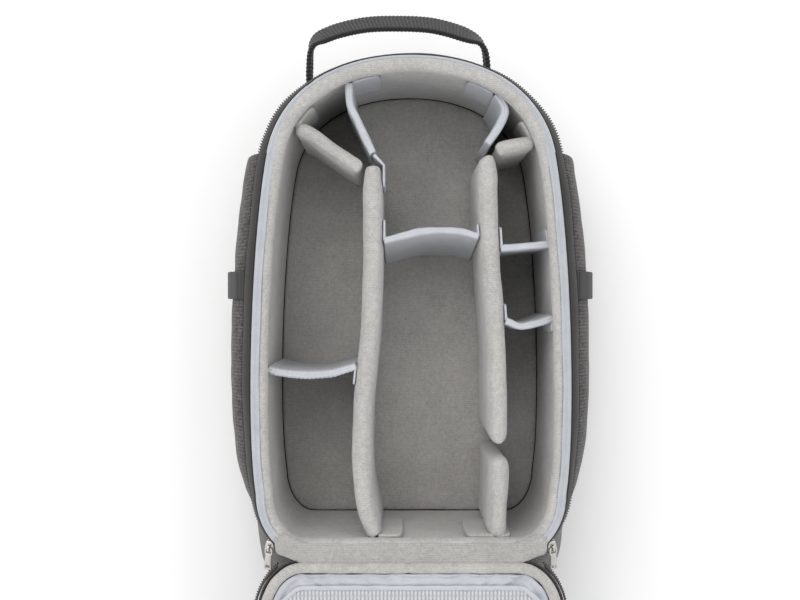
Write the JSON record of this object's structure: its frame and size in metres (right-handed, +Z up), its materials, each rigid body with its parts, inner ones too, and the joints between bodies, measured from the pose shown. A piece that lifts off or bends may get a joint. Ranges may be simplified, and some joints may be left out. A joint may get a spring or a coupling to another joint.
{
  "type": "camera backpack",
  "caption": "Padded camera backpack lying open on its harness side, with a divided compartment, side pockets, a haul handle and a folded-down lid.",
  "frame": {"origin": "middle of the bounding box on the floor that the pack lies on", "axes": "+X across the pack to its right side, +Y along it towards the haul handle, +Z up out of the open compartment"},
  "size_m": [0.3548, 0.9286, 0.1862],
  "materials": {
    "shell_fabric": "woven, matte",
    "pocket_fabric": "stretch mesh, matte",
    "webbing": "ribbed webbing",
    "zip_tape": "woven tape",
    "zip_teeth": "satin coil",
    "tricot": "brushed tricot over foam",
    "lining_nylon": "light nylon, slight sheen",
    "lining_mesh": "fine ribbed mesh",
    "back_pad": "air mesh over foam",
    "plastic": "moulded",
    "slider_metal": "satin nickel"
  },
  "bodies": {
    "pack": {"back_pad_left": "back_pad", "back_pad_right": "back_pad", "back_piping": "webbing", "body_zip_tape": "zip_tape", "body_zip_teeth": "zip_teeth", "camera_flap_left": "lining_nylon", "camera_flap_right": "lining_nylon", "corner_divider_left": "tricot", "corner_divider_right": "tricot", "cradle_divider": "lining_nylon", "floor_padding": "tricot", "haul_handle": "webbing", "hinge_tape": "tricot", "lid_lining": "lining_nylon", "lid_mesh_pocket": "lining_mesh", "lid_roll": "tricot", "lid_shell": "shell_fabric", "lid_zip_tape": "zip_tape", "lid_zip_teeth": "zip_teeth", "main_divider_left": "tricot", "main_divider_right": "tricot", "main_divider_right_foot": "tricot", "rim_binding": "lining_nylon", "shelf_divider": "lining_nylon", "shell": "shell_fabric", "shoulder_strap_left": "back_pad", "shoulder_strap_right": "back_pad", "side_pocket_left": "pocket_fabric", "side_pocket_right": "pocket_fabric", "side_webbing_left": "webbing", "side_webbing_right": "webbing", "small_divider_lower": "lining_nylon", "small_divider_upper": "lining_nylon", "strap_buckle_left": "plastic", "strap_buckle_right": "plastic", "strap_webbing_left": "webbing", "strap_webbing_right": "webbing", "tab_main_left": "tricot", "tab_main_right": "tricot", "wall_padding": "tricot", "yoke_pad": "back_pad", "zip_slider_left": "slider_metal", "zip_slider_right": "slider_metal"},
    "pull_left": {"zip_pull_left": "slider_metal"},
    "pull_right": {"zip_pull_right": "slider_metal"}
  },
  "joints": [
    {"name": "left_pull_hinge", "type": "hinge", "parent": "pack", "child": "pull_left", "pos_m": [-0.12917, -0.0287, 0.16977], "axis": [-0.944, 0.2042, -0.259], "range_deg": [0, 45]},
    {"name": "right_pull_hinge", "type": "hinge", "parent": "pack", "child": "pull_right", "pos_m": [0.12917, -0.0287, 0.16977], "axis": [-0.944, -0.2042, 0.259], "range_deg": [0, 45]}
  ]
}
